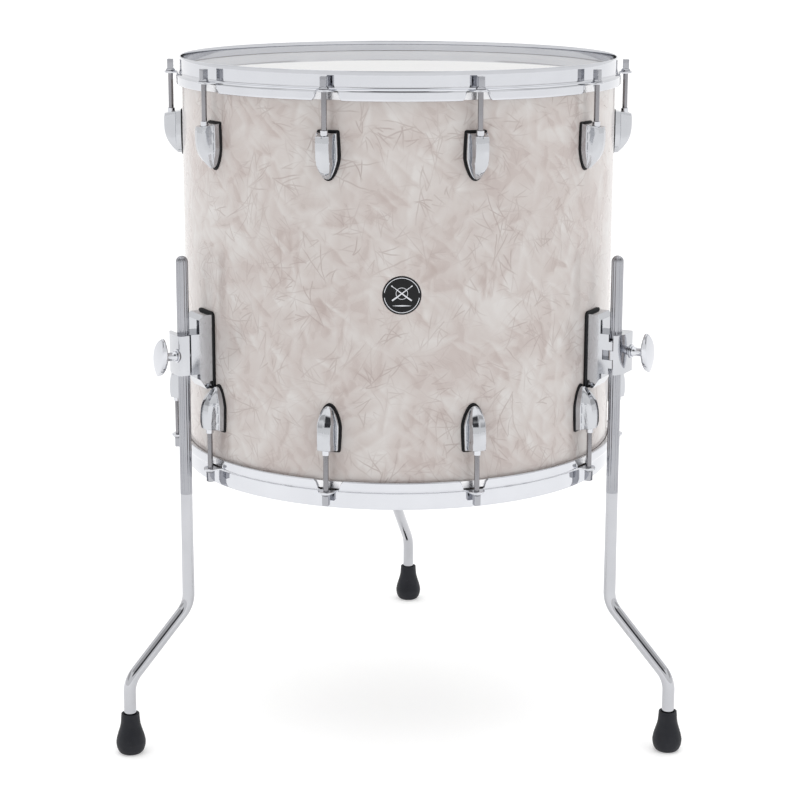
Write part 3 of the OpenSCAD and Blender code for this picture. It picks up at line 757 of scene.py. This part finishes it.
def gasket_mesh():
    """The rubber pad: the casting's outline a little larger, its back bent to the shell"""
    half, low, arch = 12.5 * MM, -24 * MM, 22 * MM
    heights = [low + arch * (k / 20) ** 1.8 for k in range(20)]
    heights += [(-2 + 25.0 * k / 6) * MM for k in range(7)]
    side = [(lug_half_width(z, half, low, arch, 0.9 * MM), z) for z in heights]
    corner = side[-1]
    for k in range(1, 6):
        a = math.radians(90 * k / 5)
        side.append((corner[0] - 2 * MM * (1 - math.cos(a)), corner[1] + 2 * MM * math.sin(a)))
    outline = side + [(-y, z) for y, z in reversed(side) if y > 0.01 * MM]
    centre = Vector((0, 0))

    def loop(inset, x=None):
        ring = []
        for y, z in outline:
            q = Vector((y, z))
            q = q - (q - centre).normalized() * inset
            depth = math.sqrt(SHELL_R ** 2 - q.x ** 2) - 0.2 * MM if x is None else x
            ring.append((depth, q.x, q.y))
        return ring

    loops = [loop(0), loop(0, GASKET_X - 0.55 * MM), loop(0.16 * MM, GASKET_X - 0.16 * MM),
             loop(0.6 * MM, GASKET_X)]
    n = len(outline)
    verts = [v for ring in loops for v in ring]
    faces = grid_faces(len(loops), n, False, True)
    faces.append(list(range((len(loops) - 1) * n, len(loops) * n)))
    mesh = make_mesh("lug_gasket", verts, faces)
    return sharpen(face_outwards(mesh), 40)


lug = lug_mesh()
lug_places = [around(a) @ Matrix.Translation((GASKET_X, 0, LUG_Z)) for a in LUG_ANGLES]
gasket = gasket_mesh()
gasket_places = [around(a) @ Matrix.Translation((0, 0, LUG_Z)) for a in LUG_ANGLES]
for side, flip in (("batter", Matrix.Identity(4)), ("resonant", LOWER)):
    made = copies(f"{side}_lug_castings", lug, [flip @ m for m in lug_places])
    piece(f"{side}_lug_castings", made, "drum", CAST, [f"{side}_lugs"])
    made = copies(f"{side}_lug_pads", gasket, [flip @ m for m in gasket_places])
    piece(f"{side}_lug_pads", made, "drum", GASKET, [f"{side}_lug_gaskets"])
    softened(f"{side}_swivel_nuts", f"{side}_nuts", 0.5 * MM, CHROME, "drum")
    softened(f"{side}_washers", f"{side}_rod_washers", 0.3 * MM, CHROME, f"{side}_ring")

# ---- brackets ----

# the visible plates' crowns stand nearer to the tops of their pads than the CAD plates' do
castings = softened("bracket_bases", "bracket_castings", 0.8 * MM, CAST, "drum").data
crown = max(v.co.z for v in castings.vertices)
for v in castings.vertices:
    if v.co.z > crown - PLATE_CROWN:
        v.co.z += PLATE_RAISE
softened("bracket_gaskets", "bracket_pads", 0.5 * MM, GASKET, "drum")
softened("hinge_pins", "bracket_pins", 0.25 * MM, CHROME, "drum")
for i in (1, 2, 3):
    softened(f"clamp_jaw_{i}", f"clamp_casting_{i}", 0.9 * MM, CAST, f"clamp_jaw_{i}")
    softened(f"wing_washer_{i}", f"wing_bolt_washer_{i}", 0.3 * MM, CHROME,
             f"wing_washer_{i}")


def wing_mesh():
    """Threaded stem, turned hub and a dished plate with a pointed oval outline"""
    h, w, thick, dish = 45 * MM, 23 * MM, 8 * MM, 90 * MM
    bow = (h * h / 4 - w * w / 4) / w
    count, rings = 96, 14
    outline = []
    for k in range(count):
        a = 2 * math.pi * k / count
        y, z = math.cos(a), math.sin(a)
        lo, hi = 0.0, h / 2
        for _ in range(30):
            mid = (lo + hi) / 2
            if math.hypot(abs(y * mid) + bow, z * mid) < bow + w / 2 and abs(z * mid) < 0.478 * h:
                lo = mid
            else:
                hi = mid
        outline.append((lo * y, lo * z))

    def half(r):
        return thick / 2 + math.sqrt(dish * dish - r * r) - dish

    shares = [math.sin(math.pi / 2 * k / rings) for k in range(1, rings + 1)]
    verts = [(half(0), 0, 0)]
    for side in (1, -1):
        picks = shares if side == 1 else shares[::-1]
        for s in picks:
            for y, z in outline:
                r = math.hypot(y, z) * s
                edge = min(1.0, (1 - s) * math.hypot(y, z) / (1.1 * MM))
                depth = half(r) * (0.55 + 0.45 * math.sqrt(1 - (1 - edge) ** 2))
                verts.append((side * depth, y * s, z * s))
    verts.append((-half(0), 0, 0))
    faces = []
    rows = 2 * rings
    for k in range(count):
        n = (k + 1) % count
        faces.append((0, 1 + n, 1 + k))
        end = 1 + (rows - 1) * count
        faces.append((len(verts) - 1, end + k, end + n))
    faces += [tuple(1 + v for v in f) for f in grid_faces(rows, count, False, True)]
    plate = make_mesh("wing_plate", verts, faces)
    plate.transform(Matrix.Translation((WING_X, 0, 0)))
    r, tip, hub = 2.95 * MM, 239 * MM, 268.4 * MM
    profile = [(0, tip), (r - 0.9 * MM, tip), (r - 0.3 * MM, tip + 0.7 * MM)]
    x = tip + 0.8 * MM
    while x < 262 * MM:
        profile += [(r, x), (r - 0.36 * MM, x + 0.5 * MM)]
        x += 1.0 * MM
    profile += [(r, x), (r, hub), (4.9 * MM, hub), (5.2 * MM, hub + 0.3 * MM),
                (5.2 * MM, hub + 2.0 * MM), (4.6 * MM, hub + 3.0 * MM), (4.3 * MM, hub + 6 * MM),
                (4.5 * MM, WING_X - 5 * MM), (5.2 * MM, WING_X - 1 * MM), (0, WING_X - 1 * MM)]
    verts, faces = lathe(profile, 32)
    stem = make_mesh("wing_stem", verts, faces)
    stem.transform(Matrix.Rotation(math.pi / 2, 4, "Y"))
    bm = bmesh.new()
    bm.from_mesh(plate)
    bm.from_mesh(stem)
    bmesh.ops.recalc_face_normals(bm, faces=bm.faces)
    mesh = bpy.data.meshes.new("wing_bolt")
    bm.to_mesh(mesh)
    bm.free()
    return sharpen(mesh, 38)


wing = wing_mesh()
for i in range(3):
    place = (around(LEG_ANGLES[i]) @ Matrix.Translation((0, BOLT_Y, BRACKET_Z))
             @ Matrix.Rotation(WING_REST[i], 4, "X"))
    name = f"wing_bolt_{i + 1}"
    piece(f"wing_screw_{i + 1}", wing, name, CHROME, [name], place)

# ---- legs and feet ----

LEG_R = 6.35 * MM
LEG_TOP = 519 * MM
CRANK, CRANK_TOP, CRANK_LOW, BEND_R = 69 * MM, 150 * MM, 78 * MM, 30 * MM
FLUTE_END = 271 * MM
FLUTES = 14
FLUTE_DEPTH = 0.6 * MM
CLAMP_SLIM = 0.15 * MM
SLIM_LOW, SLIM_HIGH = 190 * MM, 210 * MM


def leg_mesh():
    """Fluted down to below the bracket, then plain round the crank; slimmer than the CAD leg
    where it runs in the clamp, because the clash tool found the two crossing there"""
    slope = math.atan2(CRANK, CRANK_TOP - CRANK_LOW)
    run = BEND_R * math.tan(slope / 2)
    path = [(0, LEG_TOP - LEG_R * (1 - math.cos(math.radians(a))), 0,
             max(0.02, math.sin(math.radians(a)))) for a in range(0, 91, 10)]
    path += [(0, z * MM, 0, 1)
             for z in (510, 480, 440, 400, 360, 320, 280, 274, 272, 270, 268, 240, 210, 190)]
    for k in range(13):
        a = slope * k / 12
        path.append((BEND_R * (1 - math.cos(a)), CRANK_TOP + run - BEND_R * math.sin(a), a, 1))
    for k in range(13):
        a = slope * (1 - k / 12)
        path.append((CRANK - BEND_R * (1 - math.cos(a)),
                     CRANK_LOW - run + BEND_R * math.sin(a), a, 1))
    path += [(CRANK, z * MM, 0, 1) for z in (55, 44, 30, 13)]
    around_leg = FLUTES * 8
    verts = []
    for x, z, a, scale in path:
        depth = FLUTE_DEPTH * smooth_step(z, FLUTE_END - 1.5 * MM, FLUTE_END + 1.5 * MM)
        body = LEG_R - CLAMP_SLIM * smooth_step(z, SLIM_LOW, SLIM_HIGH)
        for k in range(around_leg):
            t = 2 * math.pi * k / around_leg
            dip = (0.5 - 0.5 * math.cos(FLUTES * t)) ** 1.6
            r = (body - depth * dip) * scale
            out, side = r * math.cos(t), r * math.sin(t)
            verts.append((x + out * math.cos(a), side, z + out * math.sin(a)))
    faces = grid_faces(len(path), around_leg, False, True)
    faces.append(list(range(around_leg)))
    faces.append(list(range(len(verts) - around_leg, len(verts))))
    mesh = sharpen(face_outwards(make_mesh("leg_tube", verts, faces)), 50)
    mesh.materials.append(LEG)
    mesh.materials.append(SHADED_CHROME)
    # faces above the flutes' end take the darker chrome, which is painted shade
    for f in mesh.polygons:
        f.material_index = 1 if f.center.z > FLUTE_END else 0
    return mesh


def foot_mesh():
    """Pear of moulded rubber: a rolled mouth, a parting line, tread rings underneath"""
    r, h, flat, waist, neck = 15.25 * MM, 43.4 * MM, 9 * MM, 12 * MM, 9.3 * MM
    profile = [(0, 0.6 * MM), (2.4 * MM, 0.6 * MM), (2.8 * MM, 0), (4.4 * MM, 0),
               (4.8 * MM, 0.6 * MM), (6.2 * MM, 0.6 * MM), (6.6 * MM, 0), (flat - 0.3 * MM, 0)]
    for k in range(15, -1, -1):
        a = math.radians(90 * k / 16)
        profile.append((flat + (r - flat) * math.cos(a), waist * (1 - math.sin(a))))
    profile.append((r, waist + 0.8 * MM))
    for k in range(1, 25):
        f = k / 24 * 0.985
        bulb = (1 + math.cos(math.pi * min(1, 1.35 * f))) / 2
        swell = 0.62 * bulb + 0.38 * (1 - f)
        profile.append((neck + (r - neck) * swell, waist + (h - waist) * f))
    lip = [(8.9, 43.2), (8.5, 43.4), (7.9, 43.3), (7.3, 42.6), (6.6, 41.6), (6.38, 40.2),
           (6.38, 34)]
    profile += [(a * MM, b * MM) for a, b in lip]
    verts, faces = lathe(profile, 72)
    return sharpen(face_outwards(make_mesh("foot_pear", verts, faces)), 45)


leg_tube, foot_pear = leg_mesh(), foot_mesh()
for i in range(3):
    body = f"leg_{i + 1}"
    piece(f"leg_tube_{i + 1}", leg_tube, body, None, [body], at_leg(i))
    place = at_leg(i) @ Matrix.Translation((CRANK, 0, 0))
    piece(f"rubber_foot_{i + 1}", foot_pear, body, FOOT, [f"foot_{i + 1}"], place)

# ---- badge ----


def on_badge(y, z, lift):
    """A point of the badge's face, bent to the shell"""
    r = SHELL_R + lift
    return (r * math.cos(y / SHELL_R), r * math.sin(y / SHELL_R), z)


def badge_plate():
    """A disc with a shallow groove inside its rim, bent to the shell"""
    rows = [(0, 0.46), (4, 0.46), (8, 0.46), (12, 0.46), (15.6, 0.45), (16.4, 0.40), (17.2, 0.40),
            (17.8, 0.46), (18.4, 0.44), (18.8, 0.30), (19.0, 0.05), (19.0, -0.2)]
    count = 96
    verts, faces = lathe([(r * MM, lift * MM) for r, lift in rows], count)
    verts = [on_badge(x, y, lift) for x, y, lift in verts]
    return face_outwards(make_mesh("badge_plate", verts, faces))


def strip(points, widths, lift, thick):
    """A raised strip along 2-D points in millimetres, with its own width at each point"""
    verts, faces = [], []
    for k, (p, w) in enumerate(zip(points, widths)):
        a, b = Vector(points[max(0, k - 1)]), Vector(points[min(len(points) - 1, k + 1)])
        side = (b - a).normalized()
        side = Vector((-side.y, side.x)) * w / 2
        for offset, up in ((1, 0), (0.8, thick), (-0.8, thick), (-1, 0)):
            q = Vector(p) + side * offset
            verts.append(on_badge(q.x * MM, q.y * MM, (lift + up) * MM))
    n = len(points)
    for k in range(n - 1):
        for j in range(3):
            faces.append((4 * k + j, 4 * k + j + 1, 4 * k + j + 5, 4 * k + j + 4))
    faces += [(0, 1, 2, 3), (4 * n - 4, 4 * n - 3, 4 * n - 2, 4 * n - 1)]
    return verts, faces


def badge_ornament():
    """Two broken arcs, a pair of crossed sticks over a plain ring, and a tapered bar"""
    parts = []
    for middle in (90, 270):
        arc = [math.radians(middle - 82 + 164 * k / 40) for k in range(41)]
        parts.append(([(17.0 * math.cos(a), 17.0 * math.sin(a)) for a in arc], [0.75] * 41))
    ring = [2 * math.pi * k / 48 for k in range(49)]
    parts.append(([(5.6 * math.cos(a), 1.8 + 5.6 * math.sin(a)) for a in ring], [0.6] * 49))
    for flip in (1, -1):
        line = [(-9.5, -5.2), (-5, -2), (0, 1.8), (5, 5.6), (8.4, 8.1), (9.0, 8.6), (9.8, 9.2),
                (10.4, 9.7)]
        parts.append(([(flip * x, y) for x, y in line], [1.7, 1.6, 1.35, 1.0, 0.7, 1.3, 1.3, 0.3]))
    bar = [(x, -10.2) for x in (-9, -6, -3, 0, 3, 6, 9)]
    parts.append((bar, [0.2, 0.8, 1.2, 1.4, 1.2, 0.8, 0.2]))
    verts, faces = [], []
    for points, widths in parts:
        v, f = strip(points, widths, 0.40, 0.16)
        faces += [tuple(len(verts) + k for k in q) for q in f]
        verts += v
    return face_outwards(make_mesh("badge_ornament", verts, faces, False))


badge_place = around(0) @ Matrix.Translation((0, 0, MID_Z))
piece("badge_plate", badge_plate(), "drum", ENAMEL, ["badge"], badge_place)
piece("badge_ornament", badge_ornament(), "drum", CHROME, [], badge_place)

# ---- CAD parts that stay ----

KEEP = {"shell": PLY, "batter_flesh_hoop": ALLOY, "resonant_flesh_hoop": ALLOY,
        "batter_lug_screws": STEEL, "resonant_lug_screws": STEEL, "bracket_screws": STEEL}
for node, material in KEEP.items():
    obj = NODES[node]
    obj.data.materials.clear()
    obj.data.materials.append(material)

# ---- floor and light ----

floor = bpy.data.meshes.new("floor")
floor.from_pydata([(-30, -30, 0), (30, -30, 0), (30, 30, 0), (-30, 30, 0)], [], [(0, 1, 2, 3)])
floor = bpy.data.objects.new("floor", floor)
bpy.context.scene.collection.objects.link(floor)
pale, nt, out = new_material("floor")
shader = add(nt, "ShaderNodeBsdfDiffuse", {"Color": (0.80, 0.80, 0.80, 1)})
lift = add(nt, "ShaderNodeEmission", {"Color": (1, 1, 1, 1), "Strength": 0.34})
shader = add(nt, "ShaderNodeAddShader", {0: shader.outputs[0], 1: lift.outputs[0]})
nt.links.new(shader.outputs[0], out.inputs[0])
floor.data.materials.append(pale)

world = bpy.data.worlds.new("studio")
world.use_nodes = True
bpy.context.scene.world = world
nt = world.node_tree
nt.nodes.clear()
out = nt.nodes.new("ShaderNodeOutputWorld")
# dark bands by height and by |x| for the chrome to mirror; all but the flanks only in front
towards = add(nt, "ShaderNodeTexCoord").outputs["Generated"]
axes = add(nt, "ShaderNodeSeparateXYZ", {0: towards})
height = maths(nt, "MULTIPLY_ADD", axes.outputs[2], 0.5, 0.5)
sky = ramp(nt, height, [(0.0, 1.0), (0.5, 1.0), (0.62, 0.97), (0.80, 1.08), (0.9, 1.32)])
across = maths(nt, "ABSOLUTE", axes.outputs[0])
front = maths(nt, "LESS_THAN", axes.outputs[1], 0.0)
middle = ramp(nt, across, [(0.19, 1.0), (0.27, 0.0)])
side = ramp(nt, across, [(0.80, 0.0), (0.86, 1.0)])
band = ramp(nt, height, [(0.655, 0.0), (0.675, 1.0), (0.92, 1.0), (0.95, 0.0)])
thin = ramp(nt, height, [(0.78, 0.0), (0.81, 1.0), (0.87, 1.0), (0.90, 0.0)])
low_band = ramp(nt, height, [(0.60, 0.0), (0.62, 1.0), (0.73, 1.0), (0.75, 0.0)])
dark = maths(nt, "MULTIPLY", middle, band)
wide = ramp(nt, across, [(0.38, 1.0), (0.43, 0.0)])
brow = ramp(nt, height, [(0.655, 0.0), (0.675, 1.0), (0.79, 1.0), (0.81, 0.0)])
dark = maths(nt, "MAXIMUM", dark, maths(nt, "MULTIPLY", wide, brow))
dark = maths(nt, "MAXIMUM", dark, maths(nt, "MULTIPLY", thin, 0.5))
dark = maths(nt, "MULTIPLY", dark, front)
flank = maths(nt, "MULTIPLY", maths(nt, "MULTIPLY", side, low_band), 0.45)
dark = maths(nt, "MAXIMUM", dark, flank)
dark = maths(nt, "MULTIPLY", dark, 0.97)
sky = blend_colours(nt, dark, sky, (0.02, 0.02, 0.025))
seen = add(nt, "ShaderNodeLightPath").outputs["Is Camera Ray"]
sky = blend_colours(nt, seen, sky, (1.0, 1.0, 1.0))
back = add(nt, "ShaderNodeBackground", {"Color": sky, "Strength": 1.0})
nt.links.new(back.outputs[0], out.inputs[0])


def soft_light(name, place, size, power):
    lamp = bpy.data.lights.new(name, "AREA")
    lamp.shape = "RECTANGLE"
    lamp.size, lamp.size_y = size
    lamp.energy = power
    obj = bpy.data.objects.new(name, lamp)
    bpy.context.scene.collection.objects.link(obj)
    obj.location = place
    aim = Vector((0, AXIS_Y, 0.45)) - Vector(place)
    obj.rotation_euler = aim.to_track_quat("-Z", "Y").to_euler()
    obj.visible_glossy = False


soft_light("top_box", (0.0, -0.9, 3.0), (2.6, 1.6), 14)
soft_light("left_box", (-2.6, -1.9, 1.5), (1.0, 1.8), 6)
soft_light("right_box", (2.6, -1.6, 1.6), (1.0, 1.8), 8)

bpy.context.scene.view_settings.view_transform = "Standard"
